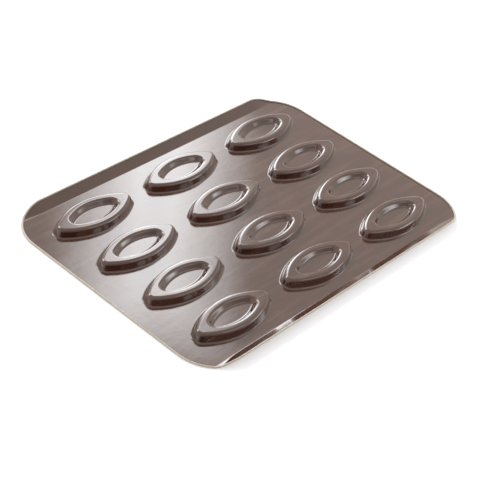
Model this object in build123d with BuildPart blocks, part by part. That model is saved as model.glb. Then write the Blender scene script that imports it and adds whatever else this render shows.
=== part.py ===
from build123d import *
import math
import os

os.makedirs("parts", exist_ok=True)

# A sheet-steel baking tray for twelve boat-shaped barquettes, lying with its forms upward.
# The sheet is pierced twelve times, and a separately drawn form stands in every hole, with the
# rim of its drafted wall flush under the sheet, so that the tray's other side is smooth.
# Each form rises to a flat ring, and a smaller boat-shaped well is sunk into the middle of it.
# The edge of the sheet is rolled into a closed bead all round, and the two long margins are
# folded up as lips, which carry the rounded corners and the bead with them.
# Frame: X along the forms' long axes, Y across them, Z up, origin under the middle of the tray.
# All sizes are in millimetres.

# Sheet
tray_length = 380.0            # over the rolled rim, along X
corner_radius = 42.0           # outside the rim, seen square to the sheet
sheet_thickness = 0.6
fold_offset = 123.0            # from the middle of the tray to the start of each fold
lip_width = 12.6               # from the end of the bend to the outside of the rim
lip_angle = 30.0
bend_radius = 2.1              # inside of the fold, more than the rim stands above the sheet
rim_diameter = 2.5             # of the rolled edge, which is rolled upward
rim_flats = 12                 # round the rolled edge, few enough to keep the model light

# Layout of the forms
form_columns = 3               # along X
form_rows = 4                  # along Y
column_pitch = 117.5
row_pitch = 60.0

# Barquette form
form_length = 96.0             # of the wall, where it passes the top of the sheet
form_width = 44.6
form_tip_radius = 6.5
form_height = 8.0              # above the sheet
wall_draft = 25.0              # from the vertical
ring_edge = 1.6                # taken off the wall and off the ring, to ease the edge between them
seat_clearance = 0.05          # between the form's wall and the edge of its hole

# Sunken well in the middle of each form
well_length = 58.0
well_width = 25.0
well_tip_radius = 7.0
well_depth = 4.8
well_draft = 40.0
mouth_edge = 1.0               # taken off the ring and off the well, to ease the edge between them

# Flats that stand in for the forms' curves, few enough to keep twelve forms light
side_flats = 12                # along each long side
tip_flats = 5                  # round each tip

# Levels above the surface that the tray rests on
sheet_top = sheet_thickness
ring_level = sheet_top + form_height
rim_level = rim_diameter / 2

# The rolled edge lies with one of its flats level with the underside of the sheet
rim_turn = 180 / rim_flats

# A cubic curve with handles this long, as a share of its radius, runs like a quarter circle
quarter_handle = 4 / 3 * (math.sqrt(2) - 1)

# Places of the twelve forms
form_places = GridLocations(column_pitch, row_pitch, form_columns, form_rows)


def flats_of(arc, flats):
    # The points of an arc that its straight flats run between, without the last.
    return [arc @ (step / flats) for step in range(flats)]


def boat_outline(length, width, tip_radius):
    # A boat shape with four tangent arcs: two long sides meeting in two rounded tips.
    tip_centre = length / 2 - tip_radius
    side_radius = (tip_centre**2 + width**2 / 4 - tip_radius**2) / (width - 2 * tip_radius)
    side_centre = side_radius - width / 2
    reach = side_radius / (side_radius - tip_radius)
    joint_x = tip_centre * reach
    joint_y = side_centre * reach - side_centre
    near_side = ThreePointArc((-joint_x, -joint_y), (0, -width / 2), (joint_x, -joint_y))
    right_tip = ThreePointArc((joint_x, -joint_y), (length / 2, 0), (joint_x, joint_y))
    far_side = ThreePointArc((joint_x, joint_y), (0, width / 2), (-joint_x, joint_y))
    left_tip = ThreePointArc((-joint_x, joint_y), (-length / 2, 0), (-joint_x, -joint_y))
    corners = flats_of(near_side, side_flats) + flats_of(right_tip, tip_flats)
    corners += flats_of(far_side, side_flats) + flats_of(left_tip, tip_flats)
    with BuildSketch() as outline:
        with BuildLine():
            Polyline(*corners, close=True)
        make_face()
    return outline.sketch


def rounded_outline(length, width, radius):
    # A rectangle with rounded corners, whose corner curves stay smooth where a fold cuts them.
    side_x = length / 2
    side_y = width / 2
    handle = radius * (1 - quarter_handle)
    with BuildSketch() as outline:
        with BuildLine() as edge_line:
            Line((side_x, 0), (side_x, side_y - radius))
            Bezier(
                (side_x, side_y - radius),
                (side_x, side_y - handle),
                (side_x - handle, side_y),
                (side_x - radius, side_y),
            )
            Line((side_x - radius, side_y), (0, side_y))
            mirror(edge_line.line, about=Plane.YZ)
            mirror(edge_line.line, about=Plane.XZ)
        make_face()
    return outline.sketch


def wall_outline(level, depth):
    # The form's outer wall cut at a level, moved into the metal by a depth square to the wall.
    slope = math.radians(wall_draft)
    inset = (level - sheet_top) * math.tan(slope) + depth / math.cos(slope)
    return boat_outline(form_length - 2 * inset, form_width - 2 * inset, form_tip_radius - inset)


def well_outline(level, depth):
    # The well's wall cut at a level, moved into the metal by a depth square to the wall.
    slope = math.radians(well_draft)
    inset = (ring_level - level) * math.tan(slope) - depth / math.cos(slope)
    return boat_outline(well_length - 2 * inset, well_width - 2 * inset, well_tip_radius - inset)


def edge_at(edge, draft, depth):
    # What the easing of an edge takes off each face, moved into the metal by a depth.
    half_turn = math.radians(90 - draft) / 2
    return edge - depth * (1 / math.cos(half_turn) - 1) / math.sin(half_turn)


def well_space(depth):
    # The space in the well, drawn upward from its eased mouth and then turned over.
    mouth_level = ring_level - depth
    mouth = edge_at(mouth_edge, well_draft, depth)
    mouth_drop = mouth * math.cos(math.radians(well_draft))
    with BuildPart() as well:
        with BuildSketch():
            add(well_outline(mouth_level, depth))
            offset(amount=mouth, kind=Kind.INTERSECTION)
        extrude(amount=mouth_drop, taper=(well_draft + 90) / 2)
        throat = well.faces().sort_by(Axis.Z)[-1]
        extrude(throat, amount=well_depth - mouth_drop, taper=well_draft)
        mirror(about=Plane.XY, mode=Mode.REPLACE)
    return well.part.moved(Location((0, 0, mouth_level)))


def raised_form(depth):
    # The space under a drawn surface of the form: its wall and eased ring, less its well.
    # A depth of zero gives the outer surface, and one sheet thickness the surface inside.
    ring_drop = edge_at(ring_edge, wall_draft, depth) * math.cos(math.radians(wall_draft))
    with BuildPart() as form:
        with BuildSketch():
            add(wall_outline(0, depth))
        extrude(amount=ring_level - depth - ring_drop, taper=wall_draft)
        wall_top = form.faces().sort_by(Axis.Z)[-1]
        extrude(wall_top, amount=ring_drop, taper=(wall_draft + 90) / 2)
        add(well_space(depth), mode=Mode.SUBTRACT)
    return form.part


def fold_up(flat, side):
    # Folds one long margin of a flat piece up about the line at the fold offset.
    # The strip beyond the line turns as it is, and a revolved section makes the bend.
    outward = Axis((0, 0, 0), (0, side, 0))
    fold_axis = Axis((0, side * fold_offset, sheet_top + bend_radius), (side, 0, 0))
    fold_plane = Plane((0, side * fold_offset, 0), x_dir=(-side, 0, 0), z_dir=(0, side, 0))
    with BuildPart() as lip:
        add(flat)
        split(bisect_by=fold_plane, keep=Keep.TOP)
    with BuildPart() as folded:
        add(flat)
        split(bisect_by=fold_plane, keep=Keep.BOTTOM)
        bend_section = folded.faces().sort_by(outward)[-1]
        revolve(bend_section, axis=fold_axis, revolution_arc=lip_angle)
        add(lip.part.rotate(fold_axis, lip_angle))
    return folded.part


# The blank runs to the middle of its rolled edge
edge_length = tray_length - rim_diameter
edge_width = 2 * (fold_offset + lip_width) - rim_diameter
edge_radius = corner_radius - rim_diameter / 2

# The blank with its edge rolled, before its margins are folded
with BuildPart() as flat_sheet:
    with BuildSketch():
        add(rounded_outline(edge_length, edge_width, edge_radius))
    extrude(amount=sheet_thickness)
    blank_edge = flat_sheet.faces().sort_by(Axis.Z)[0].outer_wire()
    with BuildSketch(Plane.XZ) as rim_section:
        with Locations((edge_length / 2, rim_level)):
            RegularPolygon(rim_diameter / 2, rim_flats, major_radius=False, rotation=rim_turn)
    sweep(path=blank_edge.moved(Location((0, 0, rim_level))))

# The tray sheet, with both margins folded up and the twelve holes pierced to the forms' draft
with BuildPart() as tray_sheet:
    add(fold_up(fold_up(flat_sheet.part, 1), -1))
    with BuildSketch():
        with form_places:
            add(wall_outline(0, -seat_clearance))
    extrude(amount=sheet_thickness, taper=wall_draft, mode=Mode.SUBTRACT)
tray_sheet.part.label = "tray_sheet"
export_step(tray_sheet.part, "parts/tray_sheet.step")

# One form, drawn from a single piece of sheet
with BuildPart() as form_shell:
    add(raised_form(0))
    add(raised_form(sheet_thickness), mode=Mode.SUBTRACT)

# The twelve forms, each in its own hole
for number, place in enumerate(form_places.locations, start=1):
    with BuildPart() as barquette_form:
        with Locations(place):
            add(form_shell.part)
    barquette_form.part.label = f"barquette_form_{number}"
    export_step(barquette_form.part, f"parts/{barquette_form.part.label}.step")
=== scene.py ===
import math

import bmesh
import bpy
from mathutils import Matrix, Quaternion, Vector


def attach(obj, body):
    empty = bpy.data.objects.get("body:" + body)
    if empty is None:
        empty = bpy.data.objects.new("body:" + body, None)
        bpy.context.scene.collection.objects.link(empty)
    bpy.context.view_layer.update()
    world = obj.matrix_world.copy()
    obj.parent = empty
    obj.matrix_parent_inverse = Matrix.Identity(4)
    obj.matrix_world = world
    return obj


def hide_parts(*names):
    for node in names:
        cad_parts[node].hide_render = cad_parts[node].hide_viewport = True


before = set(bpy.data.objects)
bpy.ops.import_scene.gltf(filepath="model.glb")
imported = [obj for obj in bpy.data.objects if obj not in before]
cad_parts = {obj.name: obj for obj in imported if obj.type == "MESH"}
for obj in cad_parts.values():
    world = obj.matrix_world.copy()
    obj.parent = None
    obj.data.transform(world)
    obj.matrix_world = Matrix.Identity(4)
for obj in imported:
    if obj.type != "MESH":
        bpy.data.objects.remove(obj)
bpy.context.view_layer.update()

# Sizes are in millimetres unless they say otherwise. Where one is not the CAD's, the photo asks
# for it, and all of them stay inside the CAD's box.
mm = 0.001

metal = {
    "thickness": 0.6,
    "shadeWeight": 80,            # how far the large faces rule the shading at their edges
    "mergeWithin": 0.001,         # vertices nearer than this are one
}

sheetTop = metal["thickness"]


# small helpers

def linearColor(hexText):
    # sRGB hex to the linear colour that Blender's sockets want
    channels = [int(hexText[i:i + 2], 16) / 255 for i in (1, 3, 5)]
    linear = [c / 12.92 if c <= 0.04045 else ((c + 0.055) / 1.055) ** 2.4 for c in channels]
    return (*linear, 1.0)


def addNode(tree, kind, settings=None, inputs=None, links=None):
    # one node with its settings, its socket values and its incoming links
    node = tree.nodes.new(kind)
    for name, value in (settings or {}).items():
        setattr(node, name, value)
    for name, value in (inputs or {}).items():
        node.inputs[name].default_value = value
    for name, (source, output) in (links or {}).items():
        tree.links.new(source.outputs[output], node.inputs[name])
    return node


def newMaterial(name):
    material = bpy.data.materials.new(name)
    material.use_nodes = True
    material.node_tree.nodes.clear()
    return material, material.node_tree


def rampColors(node, points):
    # sets a colour ramp's stops, each a position and a hex colour
    stops = node.color_ramp.elements
    while len(stops) > 1:
        stops.remove(stops[-1])
    stops[0].position = points[0][0]
    for position, hexText in points[1:]:
        stops.new(position)
    for stop, (position, hexText) in zip(stops, points):
        stop.color = linearColor(hexText)


def addObject(name, data):
    item = bpy.data.objects.new(name, data)
    bpy.context.scene.collection.objects.link(item)
    return item


def addMesh(name, bm):
    mesh = bpy.data.meshes.new(name)
    bm.to_mesh(mesh)
    bm.free()
    return addObject(name, mesh)


# the coat on the side that faces up

gloss = {
    "tints": [(0.3, "#411e13"), (0.5, "#492317"), (0.7, "#52291b")],    # along the clouds
    "paintedSheenColor": "#63493e",            # a greyer colour in streaks, a painted sheen
    "paintedSheenMost": 0.6,
    "paintedSheenUpward": (0.9, 0.98),     # upward share of the normal where the painted sheen starts and is full
    "paintedSheenStreak": (0.48, 0.7),    # streak noise where the painted sheen starts and is full
    "cloud": 34.0,                # across the shallow waves of the rolled sheet
    "cloudHeight": 0.15,
    "streak": 7.0,                # across the long streaks that rolling and wiping leave
    "streakHeight": 0.03,
    "streakTurn": 8.0,            # degrees from the tray's length
    "streakStretch": 0.08,        # how much slower the noise changes along a streak
    "peel": 1.4,                  # across the orange peel of the baked coat
    "peelHeight": 0.0012,
    "cloudDulling": 0.4,          # shares of cloud and streak in how dull the gloss is
    "streakDulling": 0.6,
    "dullness": (0.38, 0.62),
    "roughness": (0.09, 0.18),
    "clearRoughness": 0.12,       # of the clear top
    "ior": 1.6,
}


def makeBakedGloss():
    # Baked silicone-polyester non-stick coat on steel, sprayed and stoved: a deep brown under a
    # clear gloss, over sheet that is never quite flat, so that reflections break up in clouds
    # and streaks.
    g = gloss
    material, tree = newMaterial("bakedBrownGloss")
    out = addNode(tree, "ShaderNodeOutputMaterial")
    where = addNode(tree, "ShaderNodeTexCoord")

    cloud = addNode(tree, "ShaderNodeTexNoise", None,
                    {"Scale": 1 / (g["cloud"] * mm), "Detail": 4.0, "Roughness": 0.55},
                    {"Vector": (where, "Object")})
    stretch = addNode(tree, "ShaderNodeMapping", None,
                      {"Rotation": (0.0, 0.0, math.radians(g["streakTurn"])),
                       "Scale": (g["streakStretch"], 1.0, 1.0)},
                      {"Vector": (where, "Object")})
    streak = addNode(tree, "ShaderNodeTexNoise", None,
                     {"Scale": 1 / (g["streak"] * mm), "Detail": 3.0, "Roughness": 0.6},
                     {"Vector": (stretch, "Vector")})
    peel = addNode(tree, "ShaderNodeTexNoise", None,
                   {"Scale": 1 / (g["peel"] * mm), "Detail": 1.0, "Roughness": 0.5},
                   {"Vector": (where, "Object")})

    tint = addNode(tree, "ShaderNodeValToRGB", None, None, {"Fac": (cloud, "Fac")})
    rampColors(tint, g["tints"])

    # painted sheen: a greyer colour in the streaks stands in for gloss that varies, and it is
    # laid only on faces that look up, so that the level tops paint lighter than the drawn walls
    facing = addNode(tree, "ShaderNodeSeparateXYZ", None, None, {"Vector": (where, "Normal")})
    upwardSheen = addNode(tree, "ShaderNodeMapRange", None,
                         {"From Min": g["paintedSheenUpward"][0], "From Max": g["paintedSheenUpward"][1],
                          "To Min": 0.0, "To Max": g["paintedSheenMost"]},
                         {"Value": (facing, "Z")})
    streakSheen = addNode(tree, "ShaderNodeMapRange", None,
                         {"From Min": g["paintedSheenStreak"][0], "From Max": g["paintedSheenStreak"][1],
                          "To Min": 0.0, "To Max": 1.0},
                         {"Value": (streak, "Fac")})
    paintedSheenShare = addNode(tree, "ShaderNodeMath", {"operation": "MULTIPLY"}, None,
                        {0: (streakSheen, "Result"), 1: (upwardSheen, "Result")})
    tintAndPaintedSheen = addNode(tree, "ShaderNodeMix", {"data_type": "RGBA"},
                        {7: linearColor(g["paintedSheenColor"])},
                        {0: (paintedSheenShare, "Value"), 6: (tint, "Color")})

    # the gloss is duller where the streaks and clouds meet
    streakShare = addNode(tree, "ShaderNodeMath", {"operation": "MULTIPLY"},
                          {1: g["streakDulling"]}, {0: (streak, "Fac")})
    dullness = addNode(tree, "ShaderNodeMath", {"operation": "MULTIPLY_ADD"},
                       {1: g["cloudDulling"]}, {0: (cloud, "Fac"), 2: (streakShare, "Value")})
    roughness = addNode(tree, "ShaderNodeMapRange", None,
                        {"From Min": g["dullness"][0], "From Max": g["dullness"][1],
                         "To Min": g["roughness"][0], "To Max": g["roughness"][1]},
                        {"Value": (dullness, "Value")})

    cloudBump = addNode(tree, "ShaderNodeBump", None,
                        {"Strength": 1.0, "Distance": g["cloudHeight"] * mm},
                        {"Height": (cloud, "Fac")})
    streakBump = addNode(tree, "ShaderNodeBump", None,
                         {"Strength": 1.0, "Distance": g["streakHeight"] * mm},
                         {"Height": (streak, "Fac"), "Normal": (cloudBump, "Normal")})
    peelBump = addNode(tree, "ShaderNodeBump", None,
                       {"Strength": 1.0, "Distance": g["peelHeight"] * mm},
                       {"Height": (peel, "Fac"), "Normal": (streakBump, "Normal")})

    shader = addNode(tree, "ShaderNodeBsdfPrincipled", None,
                     {"Metallic": 0.0, "IOR": g["ior"], "Coat Weight": 1.0, "Coat IOR": g["ior"],
                      "Coat Roughness": g["clearRoughness"]},
                     {"Base Color": (tintAndPaintedSheen, 2), "Roughness": (roughness, "Result"),
                      "Normal": (peelBump, "Normal"), "Coat Normal": (peelBump, "Normal")})
    tree.links.new(shader.outputs["BSDF"], out.inputs["Surface"])
    return material


# the coat on the side that faces down, which shows only as a thin line along the edge

cream = {
    "tints": [(0.3, "#bdb2a2"), (0.7, "#d2c8ba")],
    "mottle": 6.0,                # across the patches that the spraying leaves
    "mottleRange": (0.3, 0.7),
    "roughness": (0.32, 0.45),
    "grain": 0.8,                 # far coarser than the real flakes, so that it shows
    "grainHeight": 0.03,
    "grainStrength": 0.08,
    "metallic": 0.15,
    "ior": 1.5,
    "clearWeight": 0.3,
    "clearRoughness": 0.25,
}


def makeCreamCoat():
    # The same non-stick coat in champagne cream: satin and a little pearly, with a fine mottle
    # of the sprayed flakes.
    c = cream
    material, tree = newMaterial("champagneCoat")
    out = addNode(tree, "ShaderNodeOutputMaterial")
    where = addNode(tree, "ShaderNodeTexCoord")
    mottle = addNode(tree, "ShaderNodeTexNoise", None,
                     {"Scale": 1 / (c["mottle"] * mm), "Detail": 5.0, "Roughness": 0.65},
                     {"Vector": (where, "Object")})
    tint = addNode(tree, "ShaderNodeValToRGB", None, None, {"Fac": (mottle, "Fac")})
    rampColors(tint, c["tints"])
    roughness = addNode(tree, "ShaderNodeMapRange", None,
                        {"From Min": c["mottleRange"][0], "From Max": c["mottleRange"][1],
                         "To Min": c["roughness"][0], "To Max": c["roughness"][1]},
                        {"Value": (mottle, "Fac")})
    grain = addNode(tree, "ShaderNodeTexNoise", None,
                    {"Scale": 1 / (c["grain"] * mm), "Detail": 2.0},
                    {"Vector": (where, "Object")})
    grainBump = addNode(tree, "ShaderNodeBump", None,
                        {"Strength": c["grainStrength"], "Distance": c["grainHeight"] * mm},
                        {"Height": (grain, "Fac")})
    shader = addNode(tree, "ShaderNodeBsdfPrincipled", None,
                     {"Metallic": c["metallic"], "IOR": c["ior"],
                      "Coat Weight": c["clearWeight"], "Coat Roughness": c["clearRoughness"]},
                     {"Base Color": (tint, "Color"), "Roughness": (roughness, "Result"),
                      "Normal": (grainBump, "Normal")})
    tree.links.new(shader.outputs["BSDF"], out.inputs["Surface"])
    return material


brownGloss = makeBakedGloss()
creamCoat = makeCreamCoat()
print("materials ready")


def finishPiece(bm, name):
    # gives a drawn surface, which is the upper side, its metal below and its two coats
    bmesh.ops.recalc_face_normals(bm, faces=bm.faces)
    if sum(f.normal.z * f.calc_area() for f in bm.faces) < 0:
        bmesh.ops.reverse_faces(bm, faces=bm.faces)
    for face in bm.faces:
        face.smooth = True
    for edge in bm.edges:
        edge.smooth = not edge.is_boundary
    piece = addMesh(name, bm)
    piece.data.materials.append(brownGloss)
    piece.data.materials.append(creamCoat)
    gauge = piece.modifiers.new("gauge", "SOLIDIFY")
    gauge.thickness = metal["thickness"] * mm
    gauge.offset = -1.0
    gauge.use_even_offset = True
    gauge.material_offset = 1
    gauge.material_offset_rim = 0
    shade = piece.modifiers.new("shade", "WEIGHTED_NORMAL")
    shade.weight = metal["shadeWeight"]
    shade.keep_sharp = True
    return piece


# the twelve forms

barquette = {
    "columns": 3,
    "rows": 4,
    "columnPitch": 117.5,
    "rowPitch": 60.0,
    "length": 95.4,               # of the wall at the top of the sheet
    "width": 44.0,
    "tipRadius": 9.2,
    "height": 8.0,
    "draft": 22.0,                # degrees from the vertical
    "footFlange": 0.3,            # level with the sheet
    "footRadius": 2.0,
    "ringEdgeRadius": 4.2,
    "wellLength": 58.0,
    "wellWidth": 25.0,
    "wellTipRadius": 7.0,
    "wellDepth": 4.8,
    "wellDraft": 40.0,
    "wellEdgeRadius": 3.8,
    "wellFloorRadius": 3.4,
    "tipSteps": 20,               # round a tip and along a side
    "sideSteps": 40,
    "footSteps": 8,               # round the curves of the profile, from the foot to the well
    "ringEdgeSteps": 12,
    "wellEdgeSteps": 6,
    "wellFloorSteps": 5,
}


def boatLoop(bm, length, width, tipRadius, reach, level):
    # a closed edge loop about the origin that lies outside a boat shape by a reach, spun out of
    # one point in four arcs
    length, width, tipRadius = length + 2 * reach, width + 2 * reach, tipRadius + reach
    tipCentre = length / 2 - tipRadius
    sideRadius = (tipCentre ** 2 + width ** 2 / 4 - tipRadius ** 2) / (width - 2 * tipRadius)
    sideCentre = sideRadius - width / 2
    tipHalf = math.atan2(sideCentre, tipCentre)
    sideHalf = math.pi / 2 - tipHalf
    start = Vector((tipCentre + tipRadius * math.cos(tipHalf),
                    -tipRadius * math.sin(tipHalf), level))
    arcs = [((tipCentre, 0), 2 * tipHalf, barquette["tipSteps"]),
            ((0, -sideCentre), 2 * sideHalf, barquette["sideSteps"]),
            ((-tipCentre, 0), 2 * tipHalf, barquette["tipSteps"]),
            ((0, sideCentre), 2 * sideHalf, barquette["sideSteps"])]
    known = set(bm.edges)
    first = bmesh.ops.create_vert(bm, co=start * mm)["vert"][0]
    last = first
    for (x, y), angle, steps in arcs:
        spun = bmesh.ops.spin(bm, geom=[last], cent=Vector((x, y, level)) * mm, axis=(0, 0, 1),
                              angle=angle, steps=steps, use_duplicate=False)
        last = [g for g in spun["geom_last"] if isinstance(g, bmesh.types.BMVert)][0]
    bmesh.ops.weld_verts(bm, targetmap={last: first})
    return [e for e in bm.edges if e not in known]


def skirtLoop(bm):
    # where a form's foot is level with the sheet, and so the edge of its hole
    b = barquette
    reach = b["footFlange"] + b["footRadius"] * math.tan(math.radians(90 - b["draft"]) / 2)
    return boatLoop(bm, b["length"], b["width"], b["tipRadius"], reach, sheetTop)


def arcSteps(radius, fromSlope, toSlope, steps):
    # the run and rise of each step round a curve, between two slopes in degrees from the level
    slopes = [math.radians(fromSlope + (toSlope - fromSlope) * k / steps)
              for k in range(steps + 1)]
    return [(radius * abs(math.sin(after) - math.sin(before)),
             radius * abs(math.cos(after) - math.cos(before)))
            for before, after in zip(slopes, slopes[1:])]


def wallStep(height, slope, curves):
    # the run and rise of the straight wall that is left between the curves at its two ends
    wallRise = height - sum(rise for run, rise in curves)
    return [(wallRise / math.tan(math.radians(slope)), wallRise)]


def drawIn(bm, loop, steps, sign):
    # draws the face in a loop in and up (or down) through a profile's steps, as a press draws
    # the sheet, and returns the face that is left in the middle
    face = bmesh.ops.contextual_create(bm, geom=loop)["faces"][0]
    if face.normal.z < 0:
        face.normal_flip()
    for run, rise in steps:
        bmesh.ops.inset_region(bm, faces=[face], thickness=run * mm, depth=sign * rise * mm,
                               use_even_offset=True, use_boundary=True)
    return face


def makeForm(name, place):
    b = barquette
    slope = 90 - b["draft"]
    wellSlope = 90 - b["wellDraft"]
    foot = [(b["footFlange"], 0.0)] + arcSteps(b["footRadius"], 0, slope, b["footSteps"])
    brow = arcSteps(b["ringEdgeRadius"], slope, 0, b["ringEdgeSteps"])
    wall = wallStep(b["height"], slope, foot + brow)
    mouth = arcSteps(b["wellEdgeRadius"], 0, wellSlope, b["wellEdgeSteps"])
    hollow = arcSteps(b["wellFloorRadius"], wellSlope, 0, b["wellFloorSteps"])
    wellWall = wallStep(b["wellDepth"], wellSlope, mouth + hollow)

    bm = bmesh.new()
    ring = drawIn(bm, skirtLoop(bm), foot + wall + brow, 1)
    ringLoop = list(ring.edges)
    bmesh.ops.delete(bm, geom=[ring], context="FACES_ONLY")

    drawn = set(bm.edges)
    mouthReach = b["wellEdgeRadius"] * math.tan(math.radians(wellSlope) / 2)
    mouthStart = boatLoop(bm, b["wellLength"], b["wellWidth"], b["wellTipRadius"], mouthReach,
                          sheetTop + b["height"])
    drawIn(bm, mouthStart, mouth + wellWall + hollow, -1)
    # the first step in took the loop's own edges with it, so the mouth is what now has one face
    mouthLoop = [e for e in bm.edges if e not in drawn and e.is_boundary]
    bmesh.ops.bridge_loops(bm, edges=ringLoop + mouthLoop)

    bmesh.ops.translate(bm, verts=bm.verts, vec=Vector((*place, 0)) * mm)
    return finishPiece(bm, name)


def spread(count, pitch):
    # the places of a row of things about the origin
    return [(k - (count - 1) / 2) * pitch for k in range(count)]


places = [(x, y) for x in spread(barquette["columns"], barquette["columnPitch"])
          for y in spread(barquette["rows"], barquette["rowPitch"])]

for number, place in enumerate(places, start=1):
    form = makeForm(f"form_{number}", place)
    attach(form, "root")
    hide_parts(f"barquette_form_{number}")
print("twelve forms drawn")


# the sheet that they stand in

tray = {
    "length": 379.98,             # over the rolled edge
    "cornerRadius": 43.5,
    "cornerSteps": 20,
    "edgeCuts": 36,               # in each straight edge
    "rimDiameter": 1.9,
    "rimFrom": -90.0,             # degrees round the bead, from its underside up and over
    "rimTo": 200.0,
    "rimSteps": 22,
    "foldOffset": 123.0,          # middle of the tray to the start of a fold
    "lipWidth": 12.5,             # from the end of the bend to the outside of the bead
    "lipAngle": 32.0,
    "bendRadius": 2.1,
    "cornerBend": 14.0,           # the bend opens out to this at the corners
    "openFrom": 147.0,            # middle of the tray to where it starts to open, along X
    "openTo": 180.0,
    "crossCuts": [3.5 * k for k in range(13)],    # from where it starts to open
    # from the start of the fold: close together over the bend, then wider for the open corners
    "bendCuts": [-1.5] + [0.15 * k for k in range(9)] + [1.6, 2.2, 3, 4, 5.2, 6.5, 8, 10],
    "sortDigits": 4,              # decimals of a vertex's place when vertices are put in order
    "mergeAfterFold": 0.004,
}


def outlineLoop(bm, halfX, halfY, corner):
    # the sheet's flat outline, to the middle of the bead
    scale = Matrix.Diagonal((2 * halfX * mm, 2 * halfY * mm, 1, 1))
    bmesh.ops.create_grid(bm, x_segments=1, y_segments=1, size=0.5,
                          matrix=Matrix.Translation((0, 0, sheetTop * mm)) @ scale)
    bmesh.ops.bevel(bm, geom=list(bm.verts), affect="VERTICES", offset=corner * mm,
                    offset_type="OFFSET", segments=tray["cornerSteps"], profile=0.5,
                    material=-1, clamp_overlap=False)
    bmesh.ops.delete(bm, geom=list(bm.faces), context="FACES_ONLY")
    straight = [e for e in bm.edges if e.calc_length() > corner * mm]
    bmesh.ops.subdivide_edges(bm, edges=straight, cuts=tray["edgeCuts"])
    return list(bm.edges)


def pierceHoles(bm):
    holes = []
    for place in places:
        before = set(bm.verts)
        holes += skirtLoop(bm)
        bmesh.ops.translate(bm, verts=[v for v in bm.verts if v not in before],
                            vec=Vector((*place, 0)) * mm)
    return holes


def rollEdge(bm, outline, halfX, halfY, corner):
    # the edge is rolled up and over from the outline, step by step round the bead's inside
    t = tray
    rimRadius = t["rimDiameter"] / 2
    inner = rimRadius - metal["thickness"]
    coreX, coreY = halfX - corner, halfY - corner
    outward = {}
    for edge in outline:
        for v in edge.verts:
            p = v.co / mm
            core = Vector((max(-coreX, min(coreX, p.x)), max(-coreY, min(coreY, p.y)), p.z))
            outward[v] = (p - core).normalized()
    base = {v: v.co.copy() for v in outward}

    roots = {v: v for v in outward}
    ringEdges = outline
    for k in range(1, t["rimSteps"] + 1):
        angle = math.radians(t["rimFrom"] + (t["rimTo"] - t["rimFrom"]) * k / t["rimSteps"])
        reach = inner * math.cos(angle)
        lift = rimRadius - sheetTop + inner * math.sin(angle)
        grown = bmesh.ops.extrude_edge_only(bm, edges=ringEdges)["geom"]
        ringEdges = [g for g in grown if isinstance(g, bmesh.types.BMEdge)
                     and all(v not in roots for v in g.verts)]
        grownRoots = {}
        for v in {v for e in ringEdges for v in e.verts}:
            # a new vertex hangs on one of the last ring, and keeps its place on the outline
            root = [roots[e.other_vert(v)] for e in v.link_edges if e.other_vert(v) in roots][0]
            grownRoots[v] = root
            v.co = base[root] + (outward[root] * reach + Vector((0, 0, lift))) * mm
        roots = grownRoots
    bmesh.ops.remove_doubles(bm, verts=bm.verts, dist=metal["mergeWithin"] * mm)


def foldMargins(bm):
    # lines are cut along and across each bend, and what lies beyond the fold is turned about it,
    # in a curve that opens out towards the corners
    t = tray
    lipTurn = math.radians(t["lipAngle"])
    for side in (1, -1):
        cuts = [((0, side * (t["foldOffset"] + d), 0), (0, side, 0)) for d in t["bendCuts"]]
        cuts += [((side * (t["openFrom"] + d), 0, 0), (side, 0, 0)) for d in t["crossCuts"]]
        for point, normal in cuts:
            bmesh.ops.bisect_plane(bm, geom=bm.verts[:] + bm.edges[:] + bm.faces[:],
                                   dist=metal["mergeWithin"] * mm,
                                   plane_co=Vector(point) * mm, plane_no=normal)
    # cutting leaves the vertices in an order that changes from run to run, and the merging at
    # the end would change with it
    settled = sorted(bm.verts, key=lambda v: tuple(round(c / mm, t["sortDigits"]) for c in v.co))
    rank = {v: k for k, v in enumerate(settled)}
    bm.verts.sort(key=lambda v: rank[v])
    for v in bm.verts:
        side = math.copysign(1, v.co.y)
        past = v.co.y * side / mm - t["foldOffset"]
        if past <= 0:
            continue
        height = v.co.z / mm - sheetTop
        share = (abs(v.co.x) / mm - t["openFrom"]) / (t["openTo"] - t["openFrom"])
        share = max(0, min(1, share))
        opened = share * share * (3 - 2 * share)    # which starts and ends gently
        radius = t["bendRadius"] + (t["cornerBend"] - t["bendRadius"]) * opened
        turn = min(past / radius, lipTurn)
        rest = past - radius * turn
        alongY = (radius - height) * math.sin(turn) + rest * math.cos(turn)
        upward = radius - (radius - height) * math.cos(turn) + rest * math.sin(turn)
        v.co.y = side * (t["foldOffset"] + alongY) * mm
        v.co.z = (sheetTop + upward) * mm
    bmesh.ops.remove_doubles(bm, verts=bm.verts, dist=t["mergeAfterFold"] * mm)


def makeSheet():
    t = tray
    rimRadius = t["rimDiameter"] / 2
    bendLength = t["bendRadius"] * math.radians(t["lipAngle"])
    halfX = t["length"] / 2 - rimRadius
    halfY = t["foldOffset"] + bendLength + t["lipWidth"] - rimRadius
    corner = t["cornerRadius"] - rimRadius

    bm = bmesh.new()
    outline = outlineLoop(bm, halfX, halfY, corner)
    holes = pierceHoles(bm)
    bmesh.ops.triangle_fill(bm, use_beauty=True, edges=outline + holes, normal=(0, 0, 1))
    rollEdge(bm, outline, halfX, halfY, corner)
    foldMargins(bm)
    return finishPiece(bm, "sheet")


sheet = makeSheet()
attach(sheet, "root")
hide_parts("tray_sheet")
print("sheet folded and rolled,", len(sheet.data.polygons), "faces")


# the floor

paper = {
    "size": 8.0,                  # metres
    "gap": 0.05,                  # under the tray, so that the two don't share a face
    "color": "#edf1fa",
    "roughness": 0.9,
    "lift": 0.33,                 # given off to the eye, so that it stays white with its shadow
    "liftColor": "#ffffff",
}


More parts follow.
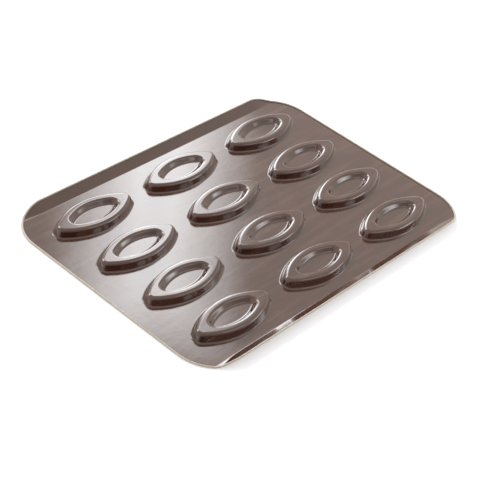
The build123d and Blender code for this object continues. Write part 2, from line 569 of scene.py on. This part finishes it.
def makeFloor():
    bm = bmesh.new()
    bmesh.ops.create_grid(bm, x_segments=1, y_segments=1, size=paper["size"] / 2,
                          matrix=Matrix.Translation((0, 0, -paper["gap"] * mm)))
    floor = addMesh("floor", bm)
    # Pale matt background paper. The lift is for what sees it, not for what it lights.
    material, tree = newMaterial("paperFloor")
    out = addNode(tree, "ShaderNodeOutputMaterial")
    ray = addNode(tree, "ShaderNodeLightPath")
    seen = addNode(tree, "ShaderNodeMath", {"operation": "MAXIMUM"}, None,
                   {0: (ray, "Is Camera Ray"), 1: (ray, "Is Glossy Ray")})
    anySeen = addNode(tree, "ShaderNodeMath", {"operation": "MAXIMUM"}, None,
                      {0: (seen, "Value"), 1: (ray, "Is Transmission Ray")})
    lift = addNode(tree, "ShaderNodeMath", {"operation": "MULTIPLY"}, {1: paper["lift"]},
                   {0: (anySeen, "Value")})
    shader = addNode(tree, "ShaderNodeBsdfPrincipled", None,
                     {"Base Color": linearColor(paper["color"]),
                      "Roughness": paper["roughness"], "Specular IOR Level": 0.0,
                      "Emission Color": linearColor(paper["liftColor"])},
                     {"Emission Strength": (lift, "Value")})
    # clear from below, so that the tray's other side can be looked at
    clear = addNode(tree, "ShaderNodeBsdfTransparent")
    paperFace = addNode(tree, "ShaderNodeNewGeometry")
    sides = addNode(tree, "ShaderNodeMixShader", None, None,
                    {0: (paperFace, "Backfacing"), 1: (shader, "BSDF"), 2: (clear, "BSDF")})
    tree.links.new(sides.outputs["Shader"], out.inputs["Surface"])
    floor.data.materials.append(material)


makeFloor()


# the lamps, in metres, with the azimuth in degrees from +X towards +Y
# The core is the share of the width that the smallest layer has, and the brightness is what all
# the layers give together where they overlap.

boxes = {
    # the tall window light that makes the bright patch on the left of the sheet
    "windowBox": {"azimuth": 50.4, "elevation": 33.7, "distance": 0.668, "lean": -1.5,
                  "size": (0.275, 0.55), "core": 0.12, "layers": 9, "brightness": 4.8},
    # a wider one below it, too low for the flat sheet, for the white lines on the far edges
    "sillBox": {"azimuth": 57.0, "elevation": 15.0, "distance": 2.5, "lean": 0.0,
                "size": (0.95, 1.25), "core": 0.7, "layers": 3, "brightness": 3.2},
    # the next window along, also off the flat sheet, for the lines round the left tips
    "sideBox": {"azimuth": 84.0, "elevation": 44.0, "distance": 2.5, "lean": 0.0,
                "size": (1.5, 0.9), "core": 0.7, "layers": 3, "brightness": 5.0},
    # a low one on the right, for the near edges of the rings and the far walls of the wells
    "rightBox": {"azimuth": -45.0, "elevation": 21.5, "distance": 0.65, "lean": 0.0,
                 "size": (0.32, 0.17), "core": 0.3, "layers": 5, "brightness": 4.8},
    # a wide one high over the camera's right, which carries their streak on to the left
    "streakBox": {"azimuth": -70.0, "elevation": 47.0, "distance": 0.9, "lean": 0.0,
                  "size": (0.46, 0.14), "core": 0.4, "layers": 3, "brightness": 3.2},
}
boxColor = "#f8fcff"
layerGap = 0.003              # metres


def makeBox(name, box):
    # a softbox facing the tray, turned about its own axis by its lean. It is built of layers a
    # little apart, the smallest in front, so that it fades outwards.
    azimuth, elevation = math.radians(box["azimuth"]), math.radians(box["elevation"])
    towards = Vector((math.cos(azimuth) * math.cos(elevation),
                      math.sin(azimuth) * math.cos(elevation), math.sin(elevation)))
    lean = Quaternion((0, 0, 1), math.radians(box["lean"]))
    fullWidth, fullHeight = box["size"]
    for k in range(box["layers"]):
        share = box["core"] + (1 - box["core"]) * k / (box["layers"] - 1)
        # each layer is as much lower as it is narrower, so that all four sides fade alike
        width, height = fullWidth * share, fullHeight - fullWidth * (1 - share)
        data = bpy.data.lights.new(name, "AREA")
        data.shape = "RECTANGLE"
        data.size = width
        data.size_y = height
        # the watts that make a lamp of this size this bright
        data.energy = box["brightness"] / box["layers"] * math.pi * width * height
        data.color = linearColor(boxColor)[:3]
        lamp = addObject(name, data)
        lamp.location = towards * (box["distance"] + layerGap * k)
        lamp.rotation_euler = (towards.to_track_quat("Z", "Y") @ lean).to_euler()


for name, box in boxes.items():
    makeBox(name, box)


# the light of the room

room = {
    "light": "#fff8ef",           # a little warm
    "farTurn": 65.0,              # degrees from +X towards +Y
    "turnRange": (-0.85, -0.35),  # share towards the far side where near light turns into far
    "farRange": (0.68, 0.82),     # share upward where the low light turns into the high one
    "farLow": 0.88,
    "farHigh": 0.75,
    "nearRange": (0.1, 0.42),
    "nearLow": 0.02,
    "nearHigh": 0.42,
}


def makeRoom():
    # light from all round: brighter behind the tray, dark low down on the camera's side
    r = room
    world = bpy.data.worlds.new("room")
    bpy.context.scene.world = world
    world.use_nodes = True
    tree = world.node_tree
    tree.nodes.clear()
    out = addNode(tree, "ShaderNodeOutputWorld")
    look = addNode(tree, "ShaderNodeTexCoord")
    turn = math.radians(r["farTurn"])
    towards = addNode(tree, "ShaderNodeVectorMath", {"operation": "DOT_PRODUCT"},
                      {1: (math.cos(turn), math.sin(turn), 0.0)}, {0: (look, "Generated")})
    upward = addNode(tree, "ShaderNodeSeparateXYZ", None, None, {"Vector": (look, "Generated")})
    side = addNode(tree, "ShaderNodeMapRange", {"interpolation_type": "SMOOTHSTEP"},
                   {"From Min": r["turnRange"][0], "From Max": r["turnRange"][1],
                    "To Min": 0.0, "To Max": 1.0},
                   {"Value": (towards, "Value")})
    farLevel = addNode(tree, "ShaderNodeMapRange", {"interpolation_type": "SMOOTHSTEP"},
                       {"From Min": r["farRange"][0], "From Max": r["farRange"][1],
                        "To Min": r["farLow"], "To Max": r["farHigh"]},
                       {"Value": (upward, "Z")})
    nearLevel = addNode(tree, "ShaderNodeMapRange", {"interpolation_type": "SMOOTHSTEP"},
                        {"From Min": r["nearRange"][0], "From Max": r["nearRange"][1],
                         "To Min": r["nearLow"], "To Max": r["nearHigh"]},
                        {"Value": (upward, "Z")})
    level = addNode(tree, "ShaderNodeMix", {"data_type": "FLOAT"}, None,
                    {0: (side, "Result"), 2: (nearLevel, "Result"), 3: (farLevel, "Result")})
    glow = addNode(tree, "ShaderNodeBackground", None, {"Color": linearColor(r["light"])},
                   {"Strength": (level, 0)})
    tree.links.new(glow.outputs["Background"], out.inputs["Surface"])


makeRoom()


# the camera, at the photo's viewing angle, in metres

view = {
    "place": (-0.893443, -0.659017, 0.834419),
    "right": (0.6734937, -0.72581246, 0.14000896),
    "up": (0.37895726, 0.50164926, 0.77764993),
    "back": (-0.6346634, -0.47068491, 0.61290952),
    "lens": 107.96,               # mm
    "sensorWidth": 36.0,          # mm
    "clipStart": 0.05,
}

cameraData = bpy.data.cameras.new("camera")
cameraData.sensor_width = view["sensorWidth"]
cameraData.lens = view["lens"]
cameraData.clip_start = view["clipStart"]
camera = addObject("camera", cameraData)
turn = Matrix((view["right"], view["up"], view["back"])).transposed().to_4x4()
camera.matrix_world = Matrix.Translation(view["place"]) @ turn
bpy.context.scene.camera = camera

bpy.context.scene.view_settings.view_transform = "Standard"
print("stage set")
